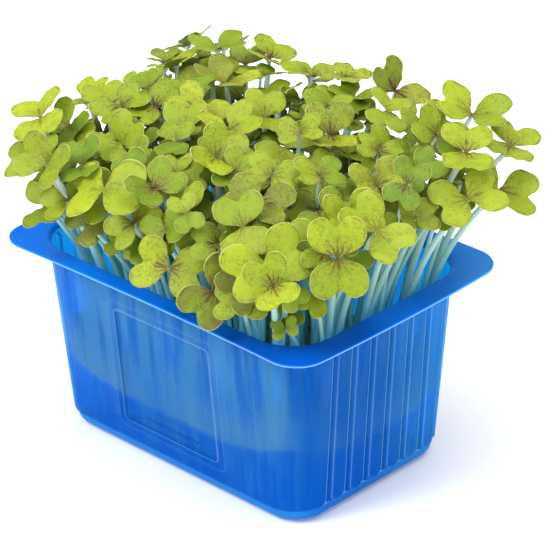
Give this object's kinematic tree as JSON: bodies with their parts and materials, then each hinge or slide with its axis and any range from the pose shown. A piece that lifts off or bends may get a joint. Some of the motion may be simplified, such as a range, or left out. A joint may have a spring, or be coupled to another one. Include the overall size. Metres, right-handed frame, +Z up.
{
  "type": "microgreens tray",
  "caption": "Deep clear-blue plastic tray with a flanged rim, ribbed short sides and a framed long side, holding a fibre mat and a dense stand of notched-leaf cress seedlings",
  "frame": {"origin": "the middle of the flat foot under the tray, on the surface that it stands on", "axes": "+X along the tray's long side, -Y out of the framed long side, +Z up"},
  "size_m": [0.1616, 0.1279, 0.1238],
  "materials": {
    "clear_blue_plastic": "clear tinted, vacuum formed, glossy",
    "mat_fibre": "damp felted plant fibre",
    "seedling": "living leaf, satin, yellow-green with purple veins, on pale stems"
  },
  "bodies": {
    "root": {"tray": "clear_blue_plastic", "growing_mat": "mat_fibre", "seedlings_01": "seedling", "seedlings_02": "seedling", "seedlings_03": "seedling", "seedlings_04": "seedling", "seedlings_05": "seedling", "seedlings_06": "seedling", "seedlings_07": "seedling", "seedlings_08": "seedling", "seedlings_09": "seedling", "seedlings_10": "seedling", "seedlings_11": "seedling", "seedlings_12": "seedling", "seedlings_13": "seedling", "seedlings_14": "seedling", "seedlings_15": "seedling", "seedlings_16": "seedling", "seedlings_17": "seedling", "seedlings_18": "seedling", "seedlings_19": "seedling", "seedlings_20": "seedling", "seedlings_21": "seedling", "seedlings_22": "seedling", "seedlings_23": "seedling", "seedlings_24": "seedling", "seedlings_25": "seedling", "seedlings_26": "seedling", "seedlings_27": "seedling", "seedlings_28": "seedling", "seedlings_29": "seedling", "seedlings_30": "seedling", "seedlings_31": "seedling", "seedlings_32": "seedling", "seedlings_33": "seedling", "seedlings_34": "seedling", "seedlings_35": "seedling", "seedlings_36": "seedling", "seedlings_37": "seedling", "seedlings_38": "seedling", "seedlings_39": "seedling", "seedlings_40": "seedling", "seedlings_41": "seedling", "seedlings_42": "seedling", "seedlings_43": "seedling", "seedlings_44": "seedling", "seedlings_45": "seedling", "seedlings_46": "seedling", "seedlings_47": "seedling", "seedlings_48": "seedling", "seedlings_49": "seedling", "seedlings_50": "seedling"}
  },
  "joints": []
}
